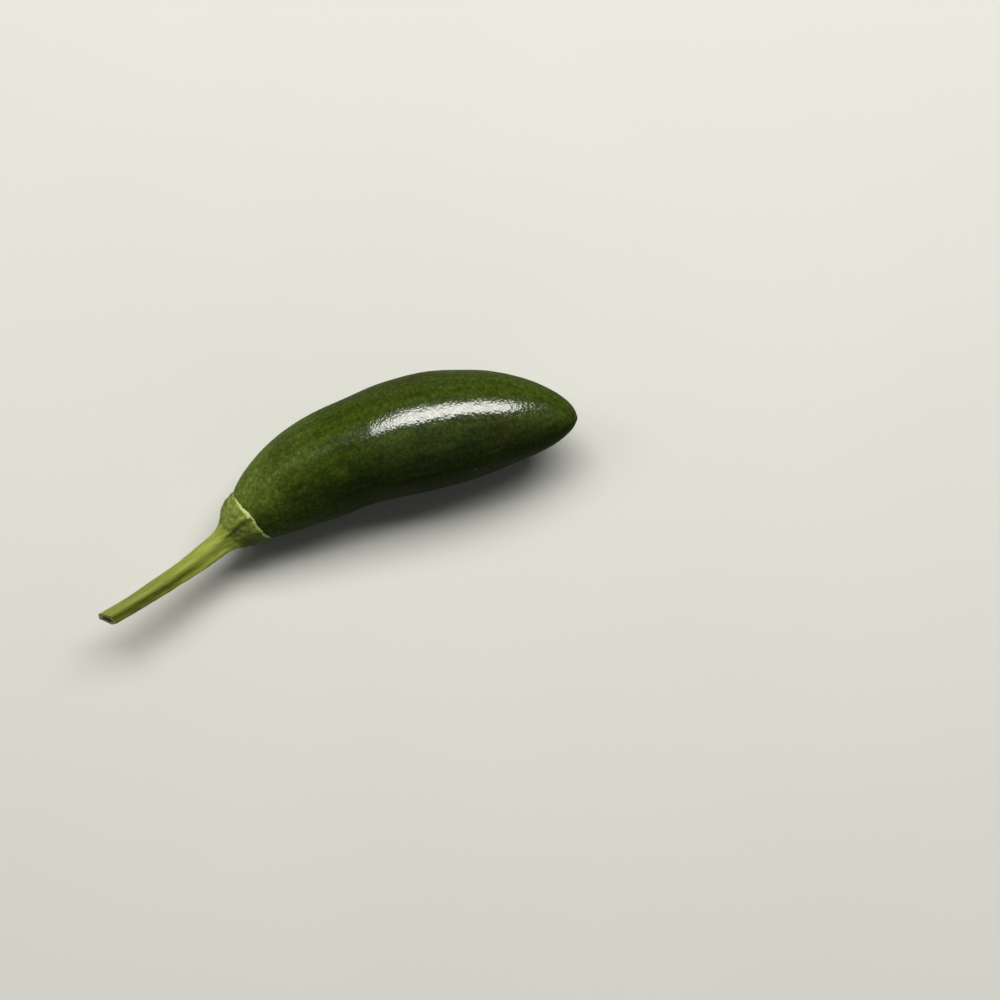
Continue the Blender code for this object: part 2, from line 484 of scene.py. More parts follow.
class Pebbles(Effect):
    """The fine bumps of a waxy plant skin: small soft domes, uneven in size."""

    title = "Pebbles"
    takes = {"Place": "NodeSocketVector", "Fineness": "NodeSocketFloat"}
    gives = {"Mask": "NodeSocketFloat", "Height": "NodeSocketFloat"}
    ROLL, FINEST = 0.55, 2.3
    DOME_EDGE = 0.9
    LOW, HIGH = 0.3, 0.7
    DOME_SHARE, ROLL_SHARE, FINEST_SHARE = 0.35, 0.45, 0.2

    def draw(self, wiring: Wiring, given: Sockets) -> Sockets:
        """Adds domes, a soft roll and a finer grain.

        Args:
            wiring: the group's wiring.
            given: the group's inputs by name.

        Returns:
            The bumps' height, and a mask that is 1 on the highest.
        """
        place, fineness = given["Place"], given["Fineness"]
        domes = wiring.add("ShaderNodeTexVoronoi", {"Vector": place, "Scale": fineness}, feature="F1")
        dome = wiring.fade(domes.outputs["Distance"], 0.0, self.DOME_EDGE, 1.0, 0.0)
        height = wiring.times(dome, self.DOME_SHARE)
        grains = ((self.ROLL, 1.0, self.ROLL_SHARE), (self.FINEST, 2.0, self.FINEST_SHARE))
        for finer, detail, share in grains:
            inputs = {"Vector": place, "Scale": wiring.times(fineness, finer), "Detail": detail}
            grain = wiring.add("ShaderNodeTexNoise", inputs).outputs["Fac"]
            height = wiring.part(grain, share, height)
        return {"Mask": wiring.fade(height, self.LOW, self.HIGH), "Height": height}


class Streaks(Effect):
    """Fine streaks that run along the chilli, from 0 to 1."""

    title = "Streaks"
    takes = {"Place": "NodeSocketVector", "Fineness": "NodeSocketFloat", "Stretch": "NodeSocketFloat"}
    gives = {"Mask": "NodeSocketFloat"}
    LOW, HIGH = 0.32, 0.68

    def draw(self, wiring: Wiring, given: Sockets) -> Sockets:
        """Squeezes the noise's place along the chilli.

        Args:
            wiring: the group's wiring.
            given: the group's inputs by name.

        Returns:
            The streaks' mask.
        """
        parts = wiring.add("ShaderNodeSeparateXYZ", {0: given["Place"]}).outputs
        along = wiring.sum("DIVIDE", parts[2], given["Stretch"])
        squeezed = wiring.add("ShaderNodeCombineXYZ", {0: parts[0], 1: parts[1], 2: along})
        inputs = {"Vector": squeezed.outputs[0], "Scale": given["Fineness"], "Detail": 2.0}
        noise = wiring.add("ShaderNodeTexNoise", inputs)
        return {"Mask": wiring.fade(noise.outputs["Fac"], self.LOW, self.HIGH)}


class Specks(Effect):
    """Small scattered spots, such as corky marks and pores: 1 on a spot and 0 elsewhere."""

    title = "Specks"
    takes = {"Place": "NodeSocketVector", "Fineness": "NodeSocketFloat", "Share": "NodeSocketFloat"}
    gives = {"Mask": "NodeSocketFloat"}
    SPOT, SOFT = 0.1, 0.22

    def draw(self, wiring: Wiring, given: Sockets) -> Sockets:
        """Keeps a share of the cells, each with a spot at its middle.

        Args:
            wiring: the group's wiring.
            given: the group's inputs by name.

        Returns:
            The spots' mask.
        """
        cells = wiring.add("ShaderNodeTexVoronoi", {"Vector": given["Place"], "Scale": given["Fineness"]})
        parts = wiring.add("ShaderNodeSeparateColor", {0: cells.outputs["Color"]})
        kept = wiring.sum("LESS_THAN", parts.outputs[0], given["Share"])
        spot = wiring.fade(cells.outputs["Distance"], self.SPOT, self.SOFT, 1.0, 0.0)
        return {"Mask": wiring.times(kept, spot)}


@dataclass(frozen=True)
class Finish:
    """What every finish has: a name, a roughness and the depth of its finest bumps.

    Attributes:
        rougher: how much is added to the roughness where the surface is rougher.
    """

    name: str
    roughness: float
    bump_depth: float
    rougher: float = 0.0

    def start(self) -> tuple[bpy.types.Material, Wiring, Node]:
        """Starts a material.

        Returns:
            The material, its wiring and its shader.
        """
        material = bpy.data.materials.new(self.name)
        material.use_nodes = True
        return material, Wiring(material.node_tree), material.node_tree.nodes["Principled BSDF"]

    def lay(
        self, wiring: Wiring, shader: Node, colour: Socket, height: Socket, mask: Socket | None = None
    ) -> None:
        """Gives the shader its colour, its roughness, and bumps, which its coat has too.

        Args:
            wiring: the material's wiring.
            shader: its shader.
            colour: its colour.
            height: where the bumps are high, from 0 to 1.
            mask: where the surface is rougher, if anywhere.
        """
        inputs = {"Strength": 1.0, "Distance": self.bump_depth, "Height": height}
        bumps = wiring.add("ShaderNodeBump", inputs).outputs["Normal"]
        rough = self.roughness if mask is None else wiring.part(mask, self.rougher, self.roughness)
        given = {"Base Color": colour, "Roughness": rough, "Normal": bumps, "Coat Normal": bumps}
        for name, source in given.items():
            wiring.feed(shader.inputs[name], source)


@dataclass(frozen=True)
class PodFinish(Finish):
    """The pod's waxy skin: dark green, with a paler shoulder that is partly its own colour and partly a
    painted sheen, and painted darker on the side away from the light, partly its own colour and partly
    painted shade.

    Attributes:
        painted_shade_reach: how much a place faces the light where leaf starts, and where it is all leaf; the
            deeper green below it is painted shade, partly the pod's own colour.
        shoulder_reach: where the shoulder's colour starts to fade and ends, along the pod.
        matt_below, matt_above: where the matt shoulder ends and the full wax starts, on the side away from
            the light and on the side towards it.
        matt_wax: how much wax the matt shoulder has, on the same two sides.
    """

    name: str = "pod_skin"
    roughness: float = 0.42
    bump_depth: float = 0.06 * MM
    rougher: float = 0.12
    # The deep green is painted shade on the side away from the light, partly the pod's own darker green.
    deep: Colour = (0.0085, 0.0165, 0.0005)
    leaf: Colour = (0.027, 0.0425, 0.0034)
    # The paler shoulder green is partly the pod's own colour and partly a painted sheen, and it is stronger
    # towards the light, which is painted light.
    shoulder: Colour = (0.090, 0.129, 0.0190)
    olive: Colour = (0.024, 0.024, 0.0016)
    cork: Colour = (0.24, 0.27, 0.13)
    scar: Colour = (0.10, 0.075, 0.03)
    pebble: float = 0.52 * MM
    grain: float = 0.85 * MM
    streak: float = 1.1 * MM
    streak_stretch: float = 9.0
    mark_spacing: float = 1.8 * MM
    mark_share: float = 0.004
    cork_strength: float = 0.3
    cloud: float = 9 * MM
    tinge: float = 14 * MM
    wax_patch: float = 5 * MM
    cloud_share: float = 0.5
    painted_shade_reach: Range = (0.74, 1.12)
    tip_reach: Range = (0.78, 0.92)
    tip_lift: float = 0.12
    shoulder_reach: Range = (-0.05, 0.3)
    shoulder_cloud: float = -0.1
    shoulder_side: Range = (0.6, 0.97)
    shoulder_share: Range = (0.22, 0.85)
    tinge_reach: Range = (0.48, 0.66)
    tinge_strength: float = 0.45
    streak_tones: Range = (0.87, 1.15)
    pebble_tones: Range = (0.8, 1.2)
    grain_tones: Range = (0.84, 1.16)
    grain_reach: Range = (0.33, 0.67)
    matt_below: Range = (0.1, 0.65)
    matt_above: Range = (0.4, 0.44)
    matt_wax: Range = (0.25, 0.05)
    matt_side: Range = (0.5, 0.85)
    matt_uneven: float = 0.16
    wax_facing: Range = (0.08, 0.32)
    wax_side: Range = (0.3, 0.7)
    wax_below: float = 0.45
    wax_pebbles: Range = (0.1, 0.7)
    wax_hollows: float = 0.8
    gloss: float = 0.02
    coat_roughness: float = 0.17
    coat_ior: float = 1.79

    def green(self, wiring: Wiring, place: Socket, pebbles: Socket) -> Socket:
        """Mixes the skin's greens and lays its marks over them.

        Args:
            wiring: the material's wiring.
            place: the unbent place.
            pebbles: the mask of the pebbles.

        Returns:
            The colour.
        """
        along, side = wiring.value(Value.ALONG), wiring.value(Value.FACING_LIGHT)
        cloud = wiring.noise(place, self.cloud)
        # Darker green away from the light, with random tone and a lift near the tip: partly the pod's own
        # colour, partly painted shade.
        sunny = wiring.part(cloud, self.cloud_share, side)
        sunny = wiring.sum("ADD", sunny, wiring.fade(along, *self.tip_reach, 0.0, self.tip_lift))
        colour = wiring.mix(wiring.fade(sunny, *self.painted_shade_reach), self.deep, self.leaf)
        # Paler shoulder, stronger towards the light: partly its own colour, partly a painted sheen and
        # painted light.
        uneven = wiring.part(cloud, self.shoulder_cloud, along)
        near = wiring.fade(uneven, *self.shoulder_reach, 1.0, 0.0)
        near = wiring.times(near, wiring.fade(side, *self.shoulder_side, *self.shoulder_share))
        colour = wiring.mix(near, colour, self.shoulder)
        patches = wiring.noise(place, self.tinge, 1.0)
        tinge = wiring.fade(patches, *self.tinge_reach, 0.0, self.tinge_strength)
        colour = wiring.mix(tinge, colour, self.olive)
        streaks = wiring.use(Streaks(), Place=place, Fineness=1 / self.streak, Stretch=self.streak_stretch)
        colour = wiring.shade(colour, streaks["Mask"], self.streak_tones)
        colour = wiring.shade(colour, pebbles, self.pebble_tones)
        grain = wiring.noise(place, self.grain, 1.0)
        colour = wiring.shade(colour, grain, self.grain_tones, self.grain_reach)
        marks = wiring.use(Specks(), Place=place, Fineness=1 / self.mark_spacing, Share=self.mark_share)
        colour = wiring.mix(wiring.times(marks["Mask"], self.cork_strength), colour, self.cork)
        return wiring.mix(wiring.value(Value.SCAR), colour, self.scar)

    def wax(self, wiring: Wiring, place: Socket, pebbles: Socket) -> Socket:
        """Spreads the wax: none at grazing angles, and less on the shoulder and away from the light.

        Args:
            wiring: the material's wiring.
            place: the unbent place.
            pebbles: the mask of the pebbles, which have most on their tops.

        Returns:
            How much wax there is, from 0 to 1.
        """
        side = wiring.value(Value.FACING_LIGHT)
        edge = wiring.add("ShaderNodeLayerWeight", {"Blend": 0.5}).outputs["Facing"]
        matt_ends = zip(self.matt_below, self.matt_above)
        matt_to, waxed_from = (wiring.fade(side, *self.matt_side, *ends) for ends in matt_ends)
        uneven = wiring.sum("SUBTRACT", wiring.value(Value.ALONG), self.matt_uneven / 2)
        uneven = wiring.part(wiring.noise(place, self.wax_patch), self.matt_uneven, uneven)
        least = wiring.fade(side, *self.matt_side, *self.matt_wax)
        waxed = wiring.fade(uneven, matt_to, waxed_from, least, 1.0)
        waxed = wiring.times(waxed, wiring.fade(pebbles, *self.wax_pebbles, self.wax_hollows, 1.0))
        waxed = wiring.times(waxed, wiring.fade(edge, *self.wax_facing, 1.0, 0.0))
        return wiring.times(waxed, wiring.fade(side, *self.wax_side, self.wax_below, 1.0))

    def material(self) -> bpy.types.Material:
        """Makes the material.

        Returns:
            The material, which reads the pod's values.
        """
        material, wiring, shader = self.start()
        place = wiring.value(Value.STRAIGHT)
        pebbles = wiring.use(Pebbles(), Place=place, Fineness=1 / self.pebble)
        colour = self.green(wiring, place, pebbles["Mask"])
        self.lay(wiring, shader, colour, pebbles["Height"], pebbles["Mask"])
        wiring.feed(shader.inputs["Specular IOR Level"], self.gloss)
        wiring.feed(shader.inputs["Coat Weight"], self.wax(wiring, place, pebbles["Mask"]))
        wiring.feed(shader.inputs["Coat Roughness"], self.coat_roughness)
        wiring.feed(shader.inputs["Coat IOR"], self.coat_ior)
        return material


@dataclass(frozen=True)
class StalkFinish(Finish):
    """The stalk and calyx: pale yellow-green ribs and darker hollows, partly their own colour and partly
    painted light and shade, a calyx with painted shade away from the light and in its creases, a dry pale rim
    and a few brown marks.
    """

    name: str = "stalk_green"
    roughness: float = 0.52
    bump_depth: float = 0.05 * MM
    rougher: float = 0.12
    # The hollows' darker green and the ridges' paler green are partly the stalk's own colours, partly painted
    # shade and painted light.
    hollow: Colour = (0.070, 0.087, 0.003)
    ridge: Colour = (0.166, 0.199, 0.030)
    cup: Colour = (0.125, 0.158, 0.023)
    # Painted shade: the calyx's darker green on the side away from the light.
    cup_shaded: Colour = (0.035, 0.051, 0.003)
    shadow: Colour = (0.024, 0.034, 0.004)
    dry: Colour = (0.35, 0.395, 0.15)
    brown: Colour = (0.10, 0.085, 0.03)
    fibre: float = 0.22 * MM
    fibre_stretch: float = 14.0
    broad: float = 0.704 * MM
    broad_stretch: float = 5.0
    pebble: float = 0.484 * MM
    mark_spacing: float = 1.4 * MM
    mark_share: float = 0.1
    blotch: float = 1.5 * MM
    blotch_share: float = 0.5
    rib_shade_reach: Range = (0.15, 1.05)
    stalk_reach: Range = (0.5, 0.85)
    stalk_tones: Range = (0.9, 1.2)
    cup_strength: float = 0.85
    cup_tones: Range = (0.7, 1.45)
    cup_reach: Range = (0.3, 0.7)
    cup_shade_reach: Range = (0.3, 0.85)
    fibre_tones: Range = (0.88, 1.1)
    broad_tones: Range = (0.9, 1.08)
    fold_strength: float = 0.8
    brown_strength: float = 0.35
    rim_strength: float = 0.85
    fibre_bumps: float = 0.5
    gloss: float = 0.15

    def green(self, wiring: Wiring, place: Socket, fibres: Socket) -> Socket:
        """Mixes the greens of the stalk and the calyx, with painted light and shade, and lays painted shade
        in the creases, marks and the dry rim over them.

        Args:
            wiring: the material's wiring.
            place: the unbent place.
            fibres: the mask of the fibres.

        Returns:
            The colour.
        """
        bell = wiring.value(Value.BELL)
        blotch = wiring.noise(place, self.blotch)
        # Ribs paler and hollows darker, with blotches: partly own colour, partly painted light and shade.
        ribs_light_and_shade = wiring.part(blotch, self.blotch_share, wiring.value(Value.RIB_LIGHT_AND_SHADE))
        colour = wiring.mix(wiring.fade(ribs_light_and_shade, *self.rib_shade_reach), self.hollow, self.ridge)
        colour = wiring.shade(colour, wiring.value(Value.ALONG), self.stalk_tones, self.stalk_reach)
        cup = wiring.shade(self.cup, blotch, self.cup_tones, self.cup_reach)
        colour = wiring.mix(wiring.times(bell, self.cup_strength), colour, cup)
        # Painted shade on the calyx, on the side away from the light.
        below = wiring.fade(wiring.value(Value.FACING_LIGHT), *self.cup_shade_reach, 1.0, 0.0)
        colour = wiring.mix(wiring.times(below, bell), colour, self.cup_shaded)
        broad = wiring.use(Streaks(), Place=place, Fineness=1 / self.broad, Stretch=self.broad_stretch)
        colour = wiring.shade(colour, fibres, self.fibre_tones)
        colour = wiring.shade(colour, broad["Mask"], self.broad_tones)
        marks = wiring.use(Specks(), Place=place, Fineness=1 / self.mark_spacing, Share=self.mark_share)
        # The crease layer is painted shade in the calyx's folds.
        layers = (
            (wiring.value(Value.FOLD), self.fold_strength, self.shadow),
            (marks["Mask"], self.brown_strength, self.brown),
            (wiring.value(Value.DRY), 1.0, self.dry),
            (wiring.value(Value.RIM), self.rim_strength, self.dry),
        )
        for mask, strength, over in layers:
            colour = wiring.mix(wiring.times(mask, strength), colour, over)
        return colour

    def material(self) -> bpy.types.Material:
        """Makes the material.

        Returns:
            The material, which reads the stalk's values.
        """
        material, wiring, shader = self.start()
        place = wiring.value(Value.STRAIGHT)
        fibres = wiring.use(Streaks(), Place=place, Fineness=1 / self.fibre, Stretch=self.fibre_stretch)
        pebbles = wiring.use(Pebbles(), Place=place, Fineness=1 / self.pebble)
        fibre_height = wiring.times(fibres["Mask"], self.fibre_bumps)
        grain = wiring.part(pebbles["Height"], 1 - self.fibre_bumps, fibre_height)
        self.lay(wiring, shader, self.green(wiring, place, fibres["Mask"]), grain, fibres["Mask"])
        wiring.feed(shader.inputs["Specular IOR Level"], self.gloss)
        return material


@dataclass(frozen=True)
class CutFinish(Finish):
    """The cut end of the stalk: a pale ring of wood round a darker pith in the middle."""

    name: str = "cut_end"
    roughness: float = 0.7
    bump_depth: float = 0.06 * MM
    rougher: float = 0.15
    bark: Colour = (0.22, 0.25, 0.07)
    wood: Colour = (0.30, 0.32, 0.13)
    pith: Colour = (0.055, 0.060, 0.014)
    fibre: float = 0.14 * MM
    fibre_share: float = 0.3
    pith_reach: Range = (0.62, 0.85)
    bark_reach: Range = (1.0, 1.12)
    tones: Range = (0.75, 1.2)

    def material(self) -> bpy.types.Material:
        """Makes the material.

        Returns:
            The material, which reads how far out each point is.
        """
        material, wiring, shader = self.start()
        place = wiring.value(Value.STRAIGHT)
        pebbles = wiring.use(Pebbles(), Place=place, Fineness=1 / self.fibre)
        ragged = wiring.part(pebbles["Height"], self.fibre_share, wiring.value(Value.CORE))
        colour = wiring.mix(wiring.fade(ragged, *self.pith_reach), self.pith, self.wood)
        colour = wiring.mix(wiring.fade(ragged, *self.bark_reach), colour, self.bark)
        colour = wiring.shade(colour, pebbles["Mask"], self.tones)
        self.lay(wiring, shader, colour, pebbles["Height"], pebbles["Mask"])
        return material


@dataclass(frozen=True)
class FloorFinish(Finish):
    """A plain pale floor with the faintest unevenness."""

    name: str = "pale_floor"
    roughness: float = 0.75
    bump_depth: float = 0.02 * MM
    pale: Colour = (0.50, 0.50, 0.462)
    cloud: float = 60 * MM
    cloud_reach: Range = (0.3, 0.7)
    tones: Range = (0.985, 1.0)
    grain: float = 0.8 * MM

    def material(self) -> bpy.types.Material:
        """Makes the material.

        Returns:
            The material.
        """
        material, wiring, shader = self.start()
        place = wiring.add("ShaderNodeTexCoord", {}).outputs["Object"]
        cloud = wiring.noise(place, self.cloud)
        colour = wiring.shade(self.pale, cloud, self.tones, self.cloud_reach)
        self.lay(wiring, shader, colour, wiring.noise(place, self.grain))
        return material


@dataclass
class Pod:
    """The fruit: a bent egg with three shallow lobes, a slight waist, and the unevenness of a grown skin.

    Attributes:
        widest: where the pod is widest, as a share of its length.
        hidden: how far its shoulder goes in under the calyx.
        waist_below: how much of the waist there is above and below, where it is least.
        lobe_start, lobe_last: until where the lobes grow along the pod, and where they start to fade.
        relief_radius: how thick the pod is where it has its full relief.
        fill_depth: how much fuller it is under the side of the calyx that lies flush.
        scar_dimple: how deep the dimple in the scar is, as a share of the scar's height.
    """

    length: float = 62.0 * MM
    girth: float = 10.45 * MM
    widest: float = 0.54
    hidden: float = 3.3 * MM
    shoulder_power: float = 2.2
    shoulder_sharpness: float = 0.46
    tip_power: float = 1.8
    tip_sharpness: float = 0.57
    waist_depth: float = 0.045
    waist_place: float = 0.37
    waist_width: float = 0.09
    waist_below: float = 0.2
    lobes: int = 3
    lobe_depth: float = 0.022
    lobe_turn: float = math.radians(15)
    lobe_twist: float = math.radians(14)
    lobe_start: float = 0.3
    lobe_last: float = 0.75
    rest_depth: float = 0.4 * MM
    rest_softness: float = 0.15 * MM
    sunny_side: float = math.radians(35)
    sides: int = 300
    rings: int = 314
    dents: Ripples = Ripples(seed=21, shortest=8 * MM, longest=18 * MM)
    folds: Ripples = Ripples(seed=12, shortest=2.6 * MM, longest=5.5 * MM, stretch=7)
    lumps: Ripples = Ripples(seed=13, shortest=1.0 * MM, longest=2.2 * MM, count=40)
    dent_depth: float = 0.07 * MM
    fold_depth: float = 0.018 * MM
    lump_height: float = 0.0045 * MM
    pucker_depth: float = 0.05 * MM
    pucker_length: float = 4.0 * MM
    relief_radius: float = 3 * MM
    scar_radius: float = 0.45 * MM
    scar_height: float = 0.1 * MM
    scar_dimple: float = 0.8
    dimple_radius: float = 0.18 * MM
    stain_radius: float = 0.54 * MM
    fill_depth: float = 0.24 * MM
    fill_side: float = math.radians(25)
    fill_length: float = 3.5 * MM
    finish: PodFinish = PodFinish()

    def radius(self, s: np.ndarray) -> np.ndarray:
        """Works out the mean radius of the skin.

        Args:
            s: distances along the chilli.

        Returns:
            The radius at each.
        """
        widest = self.widest * self.length
        shoulder = np.clip((widest - s) / (widest + self.hidden), 0.0, 1.0)
        tip = np.clip((s - widest) / (self.length - widest), 0.0, 1.0)
        blunt = (1 - shoulder**self.shoulder_power) ** self.shoulder_sharpness
        return self.girth * blunt * (1 - tip**self.tip_power) ** self.tip_sharpness

    def plain_radius(self, s: np.ndarray, angle: np.ndarray) -> np.ndarray:
        """Radius of the skin without its fine relief, a little fuller on the filled side."""
        fill = self.fill_depth * on_side(angle, self.fill_side) * bump(np.maximum(s, 0), 0, self.fill_length)
        return self.radius(s) * (1 + self.relief(s, angle)) + fill * ease((s + self.hidden) / self.hidden)

    def relief(self, s: np.ndarray, angle: np.ndarray) -> np.ndarray:
        """Works out what the lobes and the waist add or take away.

        Args:
            s: distances along the chilli.
            angle: angles round it.

        Returns:
            A share of the radius at each point.
        """
        along = s / self.length
        fading = ease((along - self.lobe_last) / (1 - self.lobe_last))
        strength = ease(along / self.lobe_start) * (1 - fading)
        turn = angle + math.pi / 2 - self.lobe_turn - self.lobe_twist * (along - 0.5)
        waist = -self.waist_depth * bump(along, self.waist_place, self.waist_width)
        below = self.waist_below + (1 - self.waist_below) * np.cos(angle) ** 2
        return waist * below - self.lobe_depth * strength * np.cos(self.lobes * turn)

    def fine_relief(self, s: np.ndarray, radius: np.ndarray, angle: np.ndarray) -> np.ndarray:
        """Adds up dents, folds, lumps and the puckers under the calyx.

        Args:
            s: distances along the chilli.
            radius: radii of the skin there.
            angle: angles round it.

        Returns:
            A height at each point.
        """
        place = straightened(s, radius, angle)
        folds = self.folds.at(place)
        pucker = np.exp(-np.maximum(s, 0) / self.pucker_length)
        height = self.dent_depth * self.dents.at(place) + self.fold_depth * folds
        height = height + self.lump_height * self.lumps.at(place) - self.pucker_depth * pucker * np.abs(folds)
        return height * ease(radius / self.relief_radius)

    def distances(self, count: int) -> np.ndarray:
        """Distances of the rings, which are closer together at the two round ends."""
        swept = np.linspace(0, math.pi, count + 2)
        return -self.hidden + (self.length + self.hidden) * (1 - np.cos(swept)) / 2

    def build(self, line: Centreline, fine: bool = True) -> Skin:
        """Lofts the skin.

        Args:
            line: the centreline.
            fine: whether the skin has its fine relief and its scar.

        Returns:
            The skin, with its values.
        """
        angle = np.linspace(0, TURN, self.sides, endpoint=False)[None, :]
        stations = self.distances(self.rings)
        s = stations[1:-1, None]
        s, radius, angle = np.broadcast_arrays(s, self.plain_radius(s, angle), angle)
        if fine:
            radius = radius + self.fine_relief(s, radius, angle)
        dimple = self.scar_dimple * bump(radius, 0, self.dimple_radius)
        scar = self.scar_height * (bump(radius, 0, self.scar_radius) - dimple)
        at_tip = s > self.length / 2
        nub = np.where(at_tip, scar, 0.0)
        values = {
            Value.STRAIGHT: straightened(s, radius, angle),
            Value.ALONG: s / self.length,
            Value.FACING_LIGHT: (1 + np.cos(angle - self.sunny_side)) / 2,
            Value.SCAR: np.where(at_tip, bump(radius, 0, self.stain_radius), 0.0),
        }
        rows = line.at(s + nub, radius, angle)
        tip = (1 - self.scar_dimple) * self.scar_height
        ends = line.at(stations[[0, -1]] + np.array([0, tip]), 0.0, 0.0)
        return Skin(rows, (ends[0], ends[1]), values)

    def rest(self, points: np.ndarray) -> np.ndarray:
        """Flattens what would lie below the floor, softly at its edge.

        Args:
            points: the points, which are changed.

        Returns:
            The same points.
        """
        height = points[..., 2]
        points[..., 2] = (height + np.sqrt(height**2 + self.rest_softness**2)) / 2
        return points

    def dress(self, line: Centreline) -> bpy.types.Object:
        """Makes the piece, with its finish.

        Args:
            line: the centreline.

        Returns:
            The piece.
        """
        skin = self.build(line)
        self.rest(skin.rows)
        made = skin.make("pod_skin")
        made.data.materials.append(self.finish.material())
        return made


@dataclass
class StalkAndCalyx:
    """The five-sided stalk, cut aslant, and the ribbed cup of the calyx that it opens into.

    Attributes:
        lip: how far past the origin the calyx rim goes.
        offset: how much wider the calyx is on one side.
        tuck: how far the calyx is pressed in on its flush side, near its rim.
        thinnest: the least thickness of the calyx.
        fold_open: how open the calyx is where its creases are deep.
        hollow_depths, hollow_painted_light: depth of each hollow of the stalk, and how pale it is painted,
            which is painted light where light falls in and painted shade where it does not.
        shaded_side: where the stalk's ribs are painted darker, which is painted shade on its lower side, up
            to shaded_until and fading over shaded_fade.
        paler: how much paler the neck is, from paler_from on.
        dry_from, dry_to: the part of the rim that has dried.
    """

    pod: Pod
    calyx_length: float = 8.0 * MM
    lip: float = 0.5 * MM
    rim_radius: float = 5.65 * MM
    offset: float = 0.25 * MM
    offset_side: float = math.radians(15)
    flare: float = 1.4
    bulge: float = 0.2 * MM
    bulge_side: float = math.radians(190)
    tuck: float = 0.42 * MM
    tuck_side: float = math.radians(20)
    tuck_place: float = -0.2 * MM
    tuck_length: float = 1.4 * MM
    thinnest: float = 0.1 * MM
    tooth: float = 0.45 * MM
    rim_tilt: float = 0.22 * MM
    rim_tilt_side: float = math.radians(20)
    ribs: int = 5
    rib_turn: float = math.radians(20)
    rib_sharpness: float = 1.5
    rib_mean: float = 0.4
    rib_height: float = 0.3 * MM
    fold_turn: float = math.radians(28)
    fold_width: float = math.radians(6.5)
    fold_depth: float = 0.27 * MM
    fold_open: float = 0.25
    fold_start: float = 0.25 * MM
    fold_shown: float = 0.2
    fold_shallow: float = 0.6
    fold_shallow_from: float = 0.8
    fold_strengths: tuple[float, ...] = (0.3, 1.0, 0.5, 0.7, 0.4)
    panel_heights: tuple[float, ...] = (0.12 * MM, 0.3 * MM, 0.15 * MM, 0.2 * MM, 0.1 * MM)
    dry_from: float = math.radians(30)
    dry_to: float = math.radians(99)
    panel_power: float = 1.2
    dry_length: float = 1.05 * MM
    dry_softness: float = 0.3 * MM
    dry_power: float = 2.2
    bell_open: float = 1 / 2.2
    rim_line: float = 0.16 * MM
    line_faded: float = 0.25
    stalk_length: float = 22.7 * MM
    stalk_radius: float = 1.8 * MM
    end_radius: float = 1.45 * MM
    neck_radius: float = 2.0 * MM
    neck_power: int = 6
    stalk_rib: float = 0.11
    hollow_depths: tuple[float, ...] = (-0.13 * MM, 0.16 * MM, 0.05 * MM, 0.1 * MM, 0.05 * MM)
    # How pale each hollow is painted: painted light where light falls in, painted shade where it does not.
    hollow_painted_light: tuple[float, ...] = (0.75, 0.0, 0.35, 0.2, 0.4)
    hollow_width: float = math.radians(22.5)
    ridge_height: float = 0.05 * MM
    ridge_width: float = 0.35
    # Painted shade: the ribs on the stalk's lower side are painted darker near the cut.
    shaded_side: float = math.radians(163)
    shaded_width: float = math.radians(34)
    painted_shade: float = 0.7
    shaded_until: float = 0.3
    shaded_fade: float = 0.5
    paler: float = 0.4
    paler_from: float = 0.6
    paler_fade: float = 0.35
    cut_side_slant: float = math.radians(34)
    cut_top_slant: float = math.radians(12)
    pith_radius: float = 0.62
    pith_depth: float = 0.35 * MM
    fray: float = 0.03 * MM
    rim_ragged: float = 0.07 * MM
    tooth_turn: float = math.radians(6)
    rim_round: float = 0.2 * MM
    rim_round_length: float = 0.5 * MM
    seat_overlap: float = 0.08 * MM
    seat_reach: float = 0.9
    sunny_side: float = math.radians(40)
    sides: int = 240
    cut_rings: int = 26
    shaft_rings: int = 120
    bell_rings: int = 84
    lip_rings: int = 7
    seat_rings: int = 16
    fibres: Ripples = Ripples(seed=21, shortest=0.28 * MM, longest=0.7 * MM, stretch=18, count=40)
    knobs: Ripples = Ripples(seed=22, shortest=0.9 * MM, longest=2.2 * MM, stretch=1.6)
    sway: Ripples = Ripples(seed=23, shortest=3 * MM, longest=7 * MM, stretch=2.5)
    ragged: Ripples = Ripples(seed=24, shortest=0.5 * MM, longest=1.6 * MM)
    fibre_height: float = 0.011 * MM
    knob_height: float = 0.045 * MM
    knob_least: float = 0.3
    knob_open: float = 1 / 3
    knob_fade: float = 0.6
    knob_fade_from: float = 0.6
    sway_height: float = 0.04 * MM
    finish: StalkFinish = StalkFinish()
    cut_finish: CutFinish = CutFinish()

    @property
    def start(self) -> float:
        """Distance of the cut end."""
        return -(self.calyx_length + self.stalk_length)

    @property
    def pitch(self) -> float:
        """Angle from one rib to the next."""
        return TURN / self.ribs

    def beside(self, angle: np.ndarray, first: float, number: float) -> np.ndarray:
        """How far each angle is from a place that is a number of pitches past the first."""
        return turned(angle, first + number * self.pitch)

    def rib(self, angle: np.ndarray) -> np.ndarray:
        """1 on each rib, falling to 0 in the broad hollows between."""
        return ((1 + np.cos(self.ribs * (angle - self.rib_turn))) / 2) ** self.rib_sharpness

    def hollows(self, angle: np.ndarray, amounts: tuple[float, ...]) -> np.ndarray:
        """One amount for each hollow of the stalk, largest in its middle."""
        away = (self.beside(angle, self.rib_turn, number + 0.5) for number in range(self.ribs))
        return sum(amount * bump(off, 0, self.hollow_width) for amount, off in zip(amounts, away))

